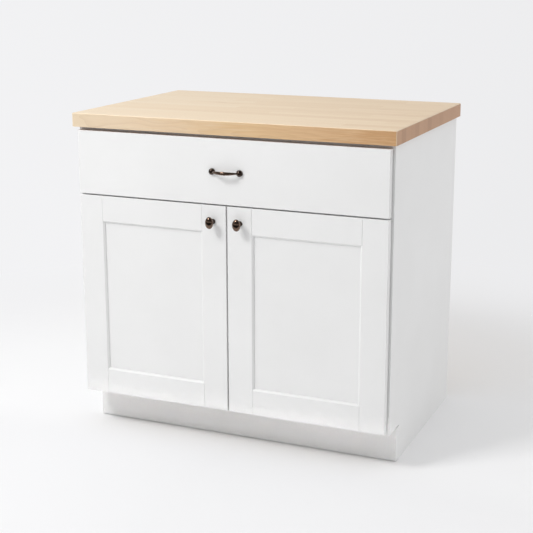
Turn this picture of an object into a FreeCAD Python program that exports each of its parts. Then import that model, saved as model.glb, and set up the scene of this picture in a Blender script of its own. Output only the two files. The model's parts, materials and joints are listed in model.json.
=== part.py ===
import FreeCAD, Part
import math
import os
import re
import Sketcher

# Kitchen base cabinet: a face-frame box with one drawer over two shaker doors under a butcher block top.
# Millimetres. X runs along the width, the fronts face -Y and Z is up.
# The origin is on the floor under the middle of the whole cabinet.

# Driving dimensions
SIZES = {
    # Carcass
    "carcass_width": 914,
    "carcass_height": 876,
    "carcass_depth": 600,
    "side_thick": 16,
    "deck_thick": 16,
    "dado_depth": 6,
    "back_thick": 6,
    "back_inset": 12,
    "nailer_thick": 16,
    "nailer_height": 89,
    "wall_screw_spacing": 610,
    "wall_screw_drop": 40,
    "wall_screw_radius": 3,
    "brace_leg": 110,
    "brace_thick": 16,
    "brace_screw_inset": 34,
    "kick_height": 102,
    "kick_setback": 67,
    "kick_thick": 19,
    "kick_drop": 4,
    "kick_lift": 3,
    # Face frame
    "frame_thick": 19,
    "frame_stile": 38,
    "frame_rail": 38,
    "frame_round": 1,
    "tenon_thick": 7,
    "tenon_length": 12,
    "tenon_shoulder": 5,
    # Worktop
    "worktop_thick": 38,
    "worktop_depth": 635,
    "worktop_overhang": 9,
    "worktop_proud": 1,
    "worktop_round": 3,
    # Drawer front and doors
    "front_thick": 19,
    "front_gap": 3.5,
    "front_round": 1.5,
    "side_reveal": 6.5,
    "top_reveal": 9,
    "bottom_reveal": 8,
    "row_gap": 4,
    "pair_gap": 4,
    "drawer_front_height": 176,
    "door_member": 75,
    "member_bevel": 4.5,
    "seam_width": 1.2,
    "seam_depth": 1.6,
    "panel_recess": 7,
    "panel_thick": 6,
    "panel_groove": 10,
    "panel_play": 1.5,
    "bumper_radius": 5,
    "bumper_thick": 3.3,
    "bumper_inset": 8.5,
    "bumper_side_inset": 17,
    # Shelf
    "shelf_thick": 16,
    "shelf_depth": 450,
    "shelf_play": 1.5,
    "shelf_round": 1,
    "shelf_pin_height": 392,
    "shelf_pin_inset": 50,
    "shelf_pin_radius": 2.5,
    "shelf_pin_sunk": 9,
    "shelf_pin_reach": 9,
    "shelf_collar_radius": 4,
    "shelf_collar_thick": 1.2,
    "shelf_hole_pitch": 32,
    # Cup hinges
    "hinge_end": 95,
    "cup_edge": 3,
    "cup_radius": 17.5,
    "cup_depth": 12.5,
    "cup_wall": 0.8,
    "cup_play": 0.1,
    "cup_flange": 1.2,
    "flange_thick": 1,
    "wing_width": 14,
    "wing_reach": 29,
    "wing_round": 4,
    "dowel_spacing": 45,
    "dowel_offset": 9.5,
    "dowel_radius": 4,
    "dowel_depth": 10,
    "pivot_inset": 7.2,
    "pivot_depth": 7.5,
    "pin_radius": 1,
    "pin_clearance": 0.05,
    "cheek_gap": 0.4,
    "cheek_thick": 1.5,
    "cheek_margin": 2.4,
    "eye_radius": 2.2,
    "arm_thick": 1.8,
    "arm_drop": 0.6,
    "arm_width": 10,
    "arm_bend": 3,
    "plate_height": 42,
    "plate_screw_spacing": 26,
    "plate_back_edge": 2,
    # Drawer box
    "box_lift": 8,
    "box_height": 100,
    "box_wall": 15,
    "box_depth": 495,
    "box_bottom_thick": 6,
    "box_groove": 6,
    "box_groove_height": 10,
    "lap_depth": 7,
    "box_round": 1.5,
    # Drawer runners
    "runner_gap": 12.7,
    "runner_height": 45.4,
    "runner_length": 500,
    "runner_setback": 2,
    "runner_sheet": 1.2,
    "runner_bend": 2,
    "runner_lip": 2,
    "runner_lip_play": 2.2,
    "runner_play": 0.3,
    "outer_ball_radius": 1.8,
    "inner_ball_radius": 1.6,
    "cage_sheet": 0.6,
    "cage_length": 220,
    "cage_start": 140,
    "cage_ball_play": 0.15,
    "block_height": 64,
    # Handles
    "knob_drop": 43,
    "knob_projection": 32,
    "knob_head_width": 23.5,
    "knob_head_height": 33.5,
    "knob_dome": 8.5,
    "knob_back": 6,
    "knob_neck_radius": 4.6,
    "knob_neck_length": 11,
    "knob_flare_radius": 8,
    "knob_foot_radius": 7.5,
    "knob_foot_thick": 3,
    "pull_spacing": 80,
    "pull_projection": 25,
    "pull_foot_radius": 9,
    "pull_foot_thick": 10,
    "pull_foot_rim": 2.5,
    "pull_middle_height": 10,
    "pull_middle_thick": 7,
    "pull_end_height": 5,
    "pull_end_thick": 5,
    "pull_root": 3,
    # Screws
    "screw_clearance": 0.1,
    "machine_screw_radius": 2,
    "machine_screw_bite": 8,
    "machine_head_radius": 4.5,
    "machine_head_thick": 2.5,
    "wood_screw_radius": 2.1,
    "wood_head_radius": 4,
    "wood_head_thick": 2.5,
    "worktop_screw_bite": 22,
    "front_screw_bite": 12,
    "front_screw_inset": 90,
    "front_screw_spread": 50,
    "runner_screw_radius": 1.7,
    "runner_head_radius": 3.2,
    "runner_screw_length": 12,
    "runner_screw_inset": 35,
    "plate_screw_length": 16,
}

# Levels and planes worked out from the driving dimensions
PLACES = {
    "face_y": "front_gap + front_thick + (knob_projection + worktop_proud - worktop_depth) / 2",
    "front_back_y": "face_y - front_gap",
    "front_y": "front_back_y - front_thick",
    "side_front_y": "face_y + frame_thick",
    "rear_y": "face_y + carcass_depth",
    "back_front_y": "rear_y - back_inset - back_thick",
    "nailer_front_y": "back_front_y - nailer_thick",
    "left_x": "-carcass_width / 2",
    "side_in_x": "left_x + side_thick",
    "jamb_x": "left_x + frame_stile",
    "deck_top": "kick_height + frame_rail",
    "deck_low": "deck_top - deck_thick",
    "nailer_low": "carcass_height - nailer_height",
    "brace_low": "carcass_height - brace_thick",
    "worktop_front_y": "front_y - worktop_proud",
    "drawer_low": "carcass_height - top_reveal - drawer_front_height",
    "middle_rail_low": "drawer_low - row_gap / 2 - frame_rail / 2",
    "top_rail_low": "carcass_height - frame_rail",
    "door_high": "drawer_low - row_gap",
    "door_low": "kick_height + bottom_reveal",
    "door_left": "left_x + side_reveal",
    "door_right": "-pair_gap / 2",
    "lower_hinge_z": "door_low + hinge_end",
    "upper_hinge_z": "door_high - hinge_end",
    "cup_x": "door_left + cup_edge + cup_radius",
    "pivot_x": "door_left + pivot_inset",
    "pivot_y": "front_back_y - pivot_depth",
    "box_left": "jamb_x + runner_gap",
    "box_low": "middle_rail_low + frame_rail + box_lift",
    "box_back_y": "front_back_y + box_depth",
    "box_floor_z": "box_low + box_groove_height",
    "runner_z": "box_low + box_height / 2",
    "runner_front_y": "face_y + runner_setback",
    "drawer_member_length": "box_back_y - runner_front_y",
    "shelf_low": "shelf_pin_height + shelf_pin_radius",
    "shelf_back_y": "back_front_y - shelf_play",
    "shelf_front_y": "shelf_back_y - shelf_depth",
    "knob_x": "door_right - door_member / 2",
    "knob_z": "door_high - knob_drop",
    "pull_z": "drawer_low + drawer_front_height / 2",
    # Half heights of the runner's races, from the outside in
    "outer_race": "runner_height / 2 - runner_sheet",
    "outer_ball_z": "outer_race - runner_play - outer_ball_radius",
    "middle_outside": "outer_ball_z - outer_ball_radius - runner_play",
    "middle_race": "middle_outside - runner_sheet",
    "inner_ball_z": "middle_race - runner_play - inner_ball_radius",
    "inner_outside": "inner_ball_z - inner_ball_radius - runner_play",
    # Planes across the runner, from the jamb towards the drawer
    "outer_cage_x": "jamb_x + runner_sheet + runner_play",
    "middle_x": "outer_cage_x + cage_sheet + runner_play",
    "inner_cage_x": "middle_x + runner_sheet + runner_play",
    "inner_tip_x": "inner_cage_x + cage_sheet + runner_play",
    "middle_lip_x": "box_left - runner_sheet - runner_play",
    "outer_lip_x": "box_left - runner_lip_play",
}

HINGE_LEVELS = ("lower_hinge_z", "upper_hinge_z")

# Counts
SHELF_HOLES_EACH_WAY = 3
RUNNER_SCREWS = 3
CAGE_BALLS = 3
PULL_SECTIONS = 9

# Two levels closer than this are the same one
LEVEL_TOLERANCE = 1e-6

UPWARD = FreeCAD.Vector(0, 0, 1)
DIRECTIONS = {
    "+x": FreeCAD.Vector(1, 0, 0),
    "-x": FreeCAD.Vector(-1, 0, 0),
    "+y": FreeCAD.Vector(0, 1, 0),
    "-y": FreeCAD.Vector(0, -1, 0),
    "+z": UPWARD,
}

doc = FreeCAD.newDocument("kitchen_base_cabinet")
sheet = doc.addObject("Spreadsheet::Sheet", "sizes")
for row, (alias, number) in enumerate(SIZES.items(), start=1):
    sheet.set(f"A{row}", alias)
    sheet.set(f"B{row}", str(number))
    sheet.setAlias(f"B{row}", alias)
doc.recompute()
nodes = []


def formula(text):
    """The expression for a text that uses the names of sizes and places."""
    def expand(match):
        word = match.group(0)
        if word in PLACES:
            return "(" + formula(PLACES[word]) + ")"
        return "sizes." + word if word in SIZES else word
    return re.sub(r"[a-z_]{2,}", expand, text)


def value(text):
    """The number that such a text stands for."""
    return float(sheet.evalExpression(formula(text)))


def node(made, name):
    """Marks an object as one piece of the cabinet and names its file."""
    made.Label = name
    nodes.append(made)
    return made


def place(made, corner):
    """Binds an object's position to the sheet."""
    for axis, text in zip("xyz", corner):
        made.setExpression("Placement.Base." + axis, formula(text))
    return made


def board(corner, size):
    """A square-edged board from its lowest corner and its size along X, Y and Z."""
    made = doc.addObject("Part::Box", "board")
    for side, text in zip(("Length", "Width", "Height"), size):
        made.setExpression(side, formula(text))
    return place(made, corner)


def rod(start, direction, radius, length):
    """A round bar, peg or hole from its first end."""
    made = doc.addObject("Part::Cylinder", "rod")
    made.setExpression("Radius", formula(radius))
    made.setExpression("Height", formula(length))
    made.Placement.Rotation = FreeCAD.Rotation(UPWARD, DIRECTIONS[direction])
    return place(made, start)


def taper(start, direction, first_radius, last_radius, length):
    """A countersink or a countersunk head from its first end."""
    made = doc.addObject("Part::Cone", "taper")
    made.setExpression("Radius1", formula(first_radius))
    made.setExpression("Radius2", formula(last_radius))
    made.setExpression("Height", formula(length))
    made.Placement.Rotation = FreeCAD.Rotation(UPWARD, DIRECTIONS[direction])
    return place(made, start)


def ball(center, radius):
    """A bearing ball."""
    made = doc.addObject("Part::Sphere", "ball")
    made.setExpression("Radius", formula(radius))
    return place(made, center)


def group(pieces):
    """Separate solids kept together."""
    made = doc.addObject("Part::Compound", "group")
    made.Links = pieces
    return made


def cut(base, tools):
    """A piece with grooves, notches or holes taken out of it."""
    made = doc.addObject("Part::Cut", "cut")
    made.Base = base
    made.Tool = tools[0] if len(tools) == 1 else group(tools)
    return made


def fuse(pieces):
    """One solid from several."""
    made = doc.addObject("Part::MultiFuse", "fuse")
    made.Shapes = pieces
    made.Refine = True
    return made


def common(first, second):
    """What two shapes share."""
    made = doc.addObject("Part::Common", "common")
    made.Base = first
    made.Tool = second
    return made


def mirrored(source):
    """The same piece on the cabinet's other side."""
    made = doc.addObject("Part::Mirroring", "mirrored")
    made.Source = source
    made.Base = FreeCAD.Vector(0, 0, 0)
    made.Normal = FreeCAD.Vector(1, 0, 0)
    return made


def arc_between(start, end, radius, side):
    """An arc whose centre lies on the left or right of the way from start to end."""
    chord = end - start
    left = FreeCAD.Vector(-chord.y, chord.x, 0).normalize()
    rise = math.sqrt(radius ** 2 - chord.Length ** 2 / 4)
    center = (start + end) * 0.5 + left * (rise if side == "left" else -rise)
    circle = Part.Circle(center, UPWARD, radius)
    first, last = (start, end) if side == "left" else (end, start)
    first_angle = math.atan2(first.y - center.y, first.x - center.x)
    last_angle = math.atan2(last.y - center.y, last.x - center.x)
    return Part.ArcOfCircle(circle, first_angle, last_angle)


def outline(body, plane, points):
    """A closed sketch. A point that also has a radius and a side starts an arc to the next point."""
    sketch = body.newObject("Sketcher::SketchObject", "outline")
    support = [item for item in body.Origin.OriginFeatures if item.Role == plane + "_Plane"][0]
    sketch.AttachmentSupport = (support, [""])
    sketch.MapMode = "FlatFace"
    corners = [FreeCAD.Vector(value(point[0]), value(point[1]), 0) for point in points]
    following = corners[1:] + corners[:1]
    ends = []
    for point, start, end in zip(points, corners, following):
        if len(point) == 2:
            sketch.addGeometry(Part.LineSegment(start, end))
            ends.append((1, 2))
        else:
            sketch.addGeometry(arc_between(start, end, value(point[2]), point[3]))
            ends.append((1, 2) if point[3] == "left" else (2, 1))
    for index, point in enumerate(points):
        after = (index + 1) % len(points)
        sketch.addConstraint(Sketcher.Constraint("Coincident", index, ends[index][1], after, ends[after][0]))
        bindings = [("DistanceX", corners[index].x, point[0]), ("DistanceY", corners[index].y, point[1])]
        for kind, number, text in bindings:
            made = sketch.addConstraint(Sketcher.Constraint(kind, -1, 1, index, ends[index][0], number))
            sketch.setExpression(f"Constraints[{made}]", formula(text))
        if len(point) > 2:
            made = sketch.addConstraint(Sketcher.Constraint("Radius", index, value(point[2])))
            sketch.setExpression(f"Constraints[{made}]", formula(point[2]))
    return sketch


def pad(plane, points, start, length):
    """An outline pushed along the plane's axis, from a start level."""
    body = doc.addObject("PartDesign::Body", "body")
    sketch = outline(body, plane, points)
    made = body.newObject("PartDesign::Pad", "pad")
    made.Profile = sketch
    made.setExpression("Length", formula(length))
    made.Reversed = plane == "XZ"
    offset = {"XY": "z", "XZ": "y", "YZ": "x"}[plane]
    body.setExpression("Placement.Base." + offset, formula(start))
    return body


def turned(points, position):
    """An outline of radius and distance turned round the Y axis."""
    body = doc.addObject("PartDesign::Body", "body")
    sketch = outline(body, "XY", points)
    made = body.newObject("PartDesign::Revolution", "turned")
    made.Profile = sketch
    made.ReferenceAxis = (sketch, ["V_Axis"])
    made.Angle = 360
    return place(body, position)


def eased(body, chosen, radius):
    """Rounds the edges of a body that the test picks."""
    doc.recompute()
    base = body.Tip
    names = [f"Edge{n}" for n, edge in enumerate(base.Shape.Edges, start=1) if chosen(edge)]
    made = body.newObject("PartDesign::Fillet", "eased")
    made.Base = (base, names)
    made.setExpression("Radius", formula(radius))
    return body


def rectangle(low, high):
    """The four corners between two opposite ones."""
    return [(low[0], low[1]), (high[0], low[1]), (high[0], high[1]), (low[0], high[1])]


def lies_at(edge, axis, text):
    """Whether a whole edge lies at one level."""
    level = value(text)
    return all(abs(getattr(vertex.Point, axis) - level) < LEVEL_TOLERANCE for vertex in edge.Vertexes)


def bow_radius(run, rise):
    """Radius of an arc that leaves a straight line and has risen off it by so much after a run."""
    return f"(({run}) ^ 2 + ({rise}) ^ 2) / (2 * ({rise}))"


def front_slab(low_x, high_x, low_z, high_z):
    """A front with its four front edges eased."""
    body = pad("XZ", rectangle((low_x, low_z), (high_x, high_z)), "front_y", "front_thick")
    return eased(body, lambda edge: lies_at(edge, "y", "0"), "front_round")


def screw(start, direction, radius, length, head_radius, head_thick):
    """A pan-head screw. Start is the underside of the head."""
    backwards = {"+x": "-x", "-x": "+x", "+y": "-y", "-y": "+y"}
    shank = rod(start, direction, radius, length)
    if direction == "+z":
        head_start = (start[0], start[1], f"{start[2]} - ({head_thick})")
        return fuse([shank, rod(head_start, "+z", head_radius, head_thick)])
    return fuse([shank, rod(start, backwards[direction], head_radius, head_thick)])


def screw_hole(start, direction, radius, length):
    """The hole that such a screw passes through or bites into."""
    return rod(start, direction, f"{radius} + screw_clearance", length)


# Carcass

def shelf_hole_places():
    """Y and Z of the shelf pin holes in one side panel."""
    columns = ("shelf_front_y + shelf_pin_inset", "shelf_back_y - shelf_pin_inset")
    steps = range(-SHELF_HOLES_EACH_WAY, SHELF_HOLES_EACH_WAY + 1)
    return [(y, f"shelf_pin_height + {step} * shelf_hole_pitch") for y in columns for step in steps]


def side_panel():
    """Left side with the toe notch, the deck's dado, the back's groove and two rows of shelf pin holes."""
    notch_y = "face_y + kick_setback + kick_thick"
    profile = [("side_front_y", "kick_height"), (notch_y, "kick_height"), (notch_y, "0"), ("rear_y", "0"),
               ("rear_y", "carcass_height"), ("side_front_y", "carcass_height")]
    blank = pad("YZ", profile, "left_x", "side_thick")
    dado_x = "side_in_x - dado_depth"
    dado = board((dado_x, "side_front_y", "deck_low"),
                 ("dado_depth", "back_front_y - side_front_y", "deck_thick"))
    groove = board((dado_x, "back_front_y", "deck_low"),
                   ("dado_depth", "back_thick", "carcass_height - deck_low"))
    hole_x = "side_in_x - shelf_pin_sunk - screw_clearance"
    hole_depth = "shelf_pin_sunk + screw_clearance"
    holes = [screw_hole((hole_x, y, z), "+x", "shelf_pin_radius", hole_depth) for y, z in shelf_hole_places()]
    return cut(blank, [fuse([dado, groove])] + holes)


def wall_holes(start_y, length):
    """The two screw holes through the nailer and the back."""
    spots = ("-wall_screw_spacing / 2", "wall_screw_spacing / 2")
    level = "carcass_height - wall_screw_drop"
    return [rod((x, start_y, level), "+y", "wall_screw_radius", length) for x in spots]


def brace(corner_y, toward):
    """Triangular corner brace, its screw hole clear for the worktop screw."""
    tip_y = f"{corner_y} {toward} brace_leg"
    profile = [("side_in_x", corner_y), ("side_in_x + brace_leg", corner_y), ("side_in_x", tip_y)]
    spot = ("side_in_x + brace_screw_inset", f"{corner_y} {toward} brace_screw_inset", "brace_low")
    hole = screw_hole(spot, "+z", "wood_screw_radius", "brace_thick")
    return cut(pad("XY", profile, "brace_low", "brace_thick"), [hole]), spot


left_side = node(side_panel(), "left_side_panel")
node(mirrored(left_side), "right_side_panel")
inner_width = "carcass_width - 2 * side_thick"
deck_width = f"{inner_width} + 2 * dado_depth"
deck_x = "side_in_x - dado_depth"
node(board((deck_x, "side_front_y", "deck_low"), (deck_width, "back_front_y - side_front_y", "deck_thick")),
     "deck_panel")
back_board = board((deck_x, "back_front_y", "deck_low"),
                   (deck_width, "back_thick", "carcass_height - deck_low"))
node(cut(back_board, wall_holes("back_front_y", "back_thick")), "back_panel")
nailer = board(("side_in_x", "nailer_front_y", "nailer_low"), (inner_width, "nailer_thick", "nailer_height"))
node(cut(nailer, wall_holes("nailer_front_y", "nailer_thick")), "hanging_rail")
kick = pad("XZ", rectangle(("left_x", "kick_lift"), ("-left_x", "kick_height - kick_drop")),
           "face_y + kick_setback", "kick_thick")
node(eased(kick, lambda edge: lies_at(edge, "y", "0"), "frame_round"), "toe_kick_board")
front_brace, front_brace_spot = brace("side_front_y", "+")
rear_brace, rear_brace_spot = brace("nailer_front_y", "-")
braces = [front_brace, rear_brace, mirrored(front_brace), mirrored(rear_brace)]
node(group(braces), "corner_braces")


# Face frame

def tenon(rail_low, start_x):
    """A tenon at a rail's end, or the mortise that takes it."""
    corner = (start_x, "face_y + (frame_thick - tenon_thick) / 2", f"{rail_low} + tenon_shoulder")
    return board(corner, ("tenon_length", "tenon_thick", "frame_rail - 2 * tenon_shoulder"))


def plate_screw_spots(level):
    """Under the heads of the two screws that hold a hinge arm to the left stile."""
    return [("jamb_x + arm_thick", "face_y + frame_thick / 2", f"{level} {side} plate_screw_spacing / 2")
            for side in ("-", "+")]


def plate_screw_holes(level):
    """Holes for those screws through the arm's plate and into the stile."""
    return [screw_hole(spot, "-x", "wood_screw_radius", "arm_thick + plate_screw_length + screw_clearance")
            for spot in plate_screw_spots(level)]


def frame_stile():
    """Left stile with its outer front corner eased, three mortises and the hinge screws' holes."""
    blank = pad("XY", rectangle(("left_x", "face_y"), ("jamb_x", "side_front_y")),
                "kick_height", "carcass_height - kick_height")
    eased(blank, lambda edge: lies_at(edge, "x", "left_x") and lies_at(edge, "y", "face_y"), "frame_round")
    lows = ("kick_height", "middle_rail_low", "top_rail_low")
    mortises = [tenon(low, "jamb_x - tenon_length") for low in lows]
    return cut(blank, mortises + [hole for level in HINGE_LEVELS for hole in plate_screw_holes(level)])


def frame_rail(low):
    """A rail between the stiles with a tenon at each end."""
    middle = board(("jamb_x", "face_y", low),
                   ("carcass_width - 2 * frame_stile", "frame_thick", "frame_rail"))
    return fuse([middle, tenon(low, "jamb_x - tenon_length"), tenon(low, "-jamb_x")])


left_frame_stile = node(frame_stile(), "frame_left_stile")
node(mirrored(left_frame_stile), "frame_right_stile")
node(frame_rail("top_rail_low"), "frame_top_rail")
node(frame_rail("middle_rail_low"), "frame_middle_rail")
node(frame_rail("kick_height"), "frame_bottom_rail")


# Worktop and its screws

def worktop():
    """Butcher block with all its upper and corner edges eased, and blind screw holes below."""
    left = "left_x - worktop_overhang"
    profile = rectangle((left, "worktop_front_y"), (f"-({left})", "worktop_front_y + worktop_depth"))
    block = pad("XY", profile, "carcass_height", "worktop_thick")
    eased(block, lambda edge: not lies_at(edge, "z", "0"), "worktop_round")
    holes = []
    for spot in (front_brace_spot, rear_brace_spot):
        x, y = spot[:2]
        for side in ("", "-"):
            holes.append(screw_hole((f"{side}({x})", y, "carcass_height"), "+z", "wood_screw_radius",
                                    "worktop_screw_bite + screw_clearance"))
    return cut(block, holes)


def worktop_screw(spot):
    """A screw up through a brace into the worktop."""
    return screw(spot, "+z", "wood_screw_radius", "brace_thick + worktop_screw_bite",
                 "wood_head_radius", "wood_head_thick")


node(worktop(), "worktop")
worktop_screws = [worktop_screw(front_brace_spot), worktop_screw(rear_brace_spot)]
node(group(worktop_screws + [mirrored(item) for item in worktop_screws]), "worktop_screws")


# Shelf and its pins

def shelf_pin(y):
    """A peg with a collar that seats on the side panel."""
    peg = rod(("side_in_x - shelf_pin_sunk", y, "shelf_pin_height"), "+x", "shelf_pin_radius",
              "shelf_pin_sunk + shelf_pin_reach")
    collar = rod(("side_in_x", y, "shelf_pin_height"), "+x", "shelf_collar_radius", "shelf_collar_thick")
    return fuse([peg, collar])


shelf_board = pad("XZ", rectangle(("side_in_x + shelf_play", "shelf_low"),
                                  ("-(side_in_x + shelf_play)", "shelf_low + shelf_thick")),
                  "shelf_front_y", "shelf_depth")
node(eased(shelf_board, lambda edge: lies_at(edge, "y", "0"), "shelf_round"), "shelf")
pins = [shelf_pin("shelf_front_y + shelf_pin_inset"), shelf_pin("shelf_back_y - shelf_pin_inset")]
node(group(pins + [mirrored(item) for item in pins]), "shelf_pins")


# Drawer runners

def runner_screw_places(length):
    """Y of the screws along a runner member of that length."""
    gap = f"({length} - 2 * runner_screw_inset) / {RUNNER_SCREWS - 1}"
    return [f"runner_front_y + runner_screw_inset + {step} * {gap}" for step in range(RUNNER_SCREWS)]


def both_halves(upper):
    """A whole section from its upper half, whose heights are measured from the runner's middle."""
    lower = []
    for index in reversed(range(len(upper))):
        x, z = upper[index][:2]
        bend = upper[index - 1][2:] if index else ()
        lower.append((x, f"-({z})", *bend))
    return [(x, f"runner_z + {z}", *bend) for x, z, *bend in upper + lower]


def channel(back_x, lip_x, outside):
    """Rolled channel section, open towards the drawer, with a lip along each edge."""
    web_x = f"{back_x} + runner_sheet"
    race = f"{outside} - runner_sheet"
    lip_low = f"{race} - runner_lip"
    tip_x = f"{lip_x} + runner_sheet"
    inside = "runner_bend - runner_sheet"
    return both_halves([(web_x, f"{race} - ({inside})", inside, "right"), (f"{web_x} + {inside}", race),
                        (f"{lip_x} - ({inside})", race, inside, "right"), (lip_x, f"{race} - ({inside})"),
                        (lip_x, lip_low), (tip_x, lip_low),
                        (tip_x, f"{outside} - runner_bend", "runner_bend", "left"),
                        (f"{tip_x} - runner_bend", outside),
                        (f"{back_x} + runner_bend", outside, "runner_bend", "left"),
                        (back_x, f"{outside} - runner_bend")])


def drawer_channel():
    """Plain rolled channel against the drawer box, its edges towards the cabinet."""
    outside = "inner_outside"
    race = f"{outside} - runner_sheet"
    web_x = "box_left - runner_sheet"
    inside = "runner_bend - runner_sheet"
    return both_halves([("box_left", f"{outside} - runner_bend", "runner_bend", "left"),
                        ("box_left - runner_bend", outside), ("inner_tip_x", outside), ("inner_tip_x", race),
                        (f"{web_x} - ({inside})", race, inside, "right"), (web_x, f"{race} - ({inside})")])


def flat_head_screw(start_x, y, direction):
    """Flat-head screw whose head fills the sheet's countersink."""
    place_at = (start_x, y, "runner_z")
    head = taper(place_at, direction, "runner_head_radius", "runner_screw_radius", "runner_sheet")
    return fuse([head, rod(place_at, direction, "runner_screw_radius", "runner_sheet + runner_screw_length")])


def flat_head_hole(start_x, y, direction):
    """The countersink and the hole for a flat-head screw."""
    place_at = (start_x, y, "runner_z")
    sink = taper(place_at, direction, "runner_head_radius + screw_clearance",
                 "runner_screw_radius + screw_clearance", "runner_sheet")
    return fuse([sink, screw_hole(place_at, direction, "runner_screw_radius",
                                  "runner_sheet + runner_screw_length + screw_clearance")])


def ball_cage(web_x, tip_x, ball_x, level, radius):
    """A cage of sheet between two members, with two rows of balls in its holes."""
    outside = f"{level} + cage_sheet / 2"
    inside = f"{level} - cage_sheet / 2"
    section = both_halves([(f"{web_x} + cage_sheet", inside), (tip_x, inside), (tip_x, outside),
                           (web_x, outside)])
    start_y = "runner_front_y + cage_start"
    holes, balls = [], []
    for step in range(CAGE_BALLS):
        y = f"{start_y} + ({step} + 0.5) * cage_length / {CAGE_BALLS}"
        for side in ("+", "-"):
            z = f"runner_z {side} ({level})"
            hole_start = (ball_x, y, f"{z} - cage_sheet")
            holes.append(rod(hole_start, "+z", f"{radius} + cage_ball_play", "2 * cage_sheet"))
            balls.append(ball((ball_x, y, z), radius))
    return [cut(pad("XZ", section, start_y, "cage_length"), holes)] + balls


cabinet_screw_places = runner_screw_places("runner_length")
cabinet_holes = [flat_head_hole("jamb_x + runner_sheet", y, "-x") for y in cabinet_screw_places]
cabinet_blank = pad("XZ", channel("jamb_x", "outer_lip_x - runner_sheet", "runner_height / 2"),
                    "runner_front_y", "runner_length")
cabinet_member = node(cut(cabinet_blank, cabinet_holes), "left_runner_cabinet_member")
node(mirrored(cabinet_member), "right_runner_cabinet_member")

block_blank = board(("side_in_x", "side_front_y", "runner_z - block_height / 2"),
                    ("jamb_x - side_in_x", "nailer_front_y - side_front_y", "block_height"))
runner_block = cut(block_blank, cabinet_holes)
node(group([runner_block, mirrored(runner_block)]), "runner_blocks")
cabinet_screws = [flat_head_screw("jamb_x + runner_sheet", y, "-x") for y in cabinet_screw_places]
node(group(cabinet_screws + [mirrored(item) for item in cabinet_screws]), "runner_cabinet_screws")

middle_section = channel("middle_x", "middle_lip_x - runner_sheet", "middle_outside")
middle_blank = pad("XZ", middle_section, "runner_front_y", "runner_length")
middle_member = node(middle_blank, "left_runner_middle_member")
node(mirrored(middle_member), "right_runner_middle_member")

outer_cage = group(ball_cage("outer_cage_x", "outer_lip_x - runner_sheet - runner_play",
                             "(outer_cage_x + outer_lip_x) / 2", "outer_ball_z", "outer_ball_radius"))
node(group([outer_cage, mirrored(outer_cage)]), "outer_ball_cages")
inner_cage = group(ball_cage("inner_cage_x", "middle_lip_x - runner_sheet - runner_play",
                             "(inner_cage_x + middle_lip_x) / 2", "inner_ball_z", "inner_ball_radius"))
node(group([inner_cage, mirrored(inner_cage)]), "inner_ball_cages")

drawer_blank = pad("XZ", drawer_channel(), "runner_front_y", "drawer_member_length")
drawer_screw_places = runner_screw_places("drawer_member_length")
drawer_holes = [flat_head_hole("box_left - runner_sheet", y, "+x") for y in drawer_screw_places]
drawer_member = node(cut(drawer_blank, drawer_holes), "left_runner_drawer_member")
node(mirrored(drawer_member), "right_runner_drawer_member")
drawer_screws = [flat_head_screw("box_left - runner_sheet", y, "+x") for y in drawer_screw_places]
node(group(drawer_screws + [mirrored(item) for item in drawer_screws]), "runner_drawer_screws")


# Drawer box and front

def pull_screw_places():
    """X of the two pull screws."""
    return ("-pull_spacing / 2", "pull_spacing / 2")


def front_screw_places():
    """X and Z of the screws that hold the drawer front to the box."""
    reach = "box_left + box_wall + front_screw_inset"
    levels = ("runner_z - front_screw_spread / 2", "runner_z + front_screw_spread / 2")
    return [(x, z) for x in (reach, f"-({reach})") for z in levels]


def handle_holes(start_y, length):
    """Holes for the pull's screws."""
    return [screw_hole((x, start_y, "pull_z"), "+y", "machine_screw_radius", length)
            for x in pull_screw_places()]


def front_screw_holes(start_y, length):
    """Holes for the screws of the drawer front."""
    return [screw_hole((x, start_y, z), "+y", "wood_screw_radius", length) for x, z in front_screw_places()]


def on_top_of_box(edge):
    """Whether an edge of a drawer box board runs along its top."""
    return lies_at(edge, "z", "box_height")


def box_side():
    """Left side of the drawer box, grooved for the bottom and lapped at both ends."""
    inside = "box_left + box_wall"
    blank = pad("XY", rectangle(("box_left", "front_back_y"), (inside, "box_back_y")),
                "box_low", "box_height")
    eased(blank, on_top_of_box, "box_round")
    groove = board((f"{inside} - box_groove", "front_back_y", "box_floor_z"),
                   ("box_groove", "box_depth", "box_bottom_thick"))
    lap = ("lap_depth", "box_wall", "box_height")
    front_lap = board((f"{inside} - lap_depth", "front_back_y", "box_low"), lap)
    back_lap = board((f"{inside} - lap_depth", "box_back_y - box_wall", "box_low"), lap)
    return cut(blank, [fuse([groove, front_lap, back_lap])] + drawer_holes)


def box_end(start_y, groove_y):
    """Front or back of the drawer box, set into the sides' laps and grooved for the bottom."""
    start_x = "box_left + box_wall - lap_depth"
    blank = pad("XY", rectangle((start_x, start_y), (f"-({start_x})", f"{start_y} + box_wall")),
                "box_low", "box_height")
    eased(blank, on_top_of_box, "box_round")
    groove = board((start_x, groove_y, "box_floor_z"),
                   (f"-2 * ({start_x})", "box_groove", "box_bottom_thick"))
    return cut(blank, [groove])


left_box_side = node(box_side(), "drawer_left_side")
node(mirrored(left_box_side), "drawer_right_side")
box_front = box_end("front_back_y", "front_back_y + box_wall - box_groove")
box_front_holes = handle_holes("front_back_y", "box_wall") + front_screw_holes("front_back_y", "box_wall")
node(cut(box_front, box_front_holes), "drawer_box_front")
node(box_end("box_back_y - box_wall", "box_back_y - box_wall"), "drawer_box_back")
floor_x = "box_left + box_wall - box_groove"
floor_y = "front_back_y + box_wall - box_groove"
floor_length = "box_depth - 2 * (box_wall - box_groove)"
node(board((floor_x, floor_y, "box_floor_z"), (f"-2 * ({floor_x})", floor_length, "box_bottom_thick")),
     "drawer_bottom")

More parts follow.
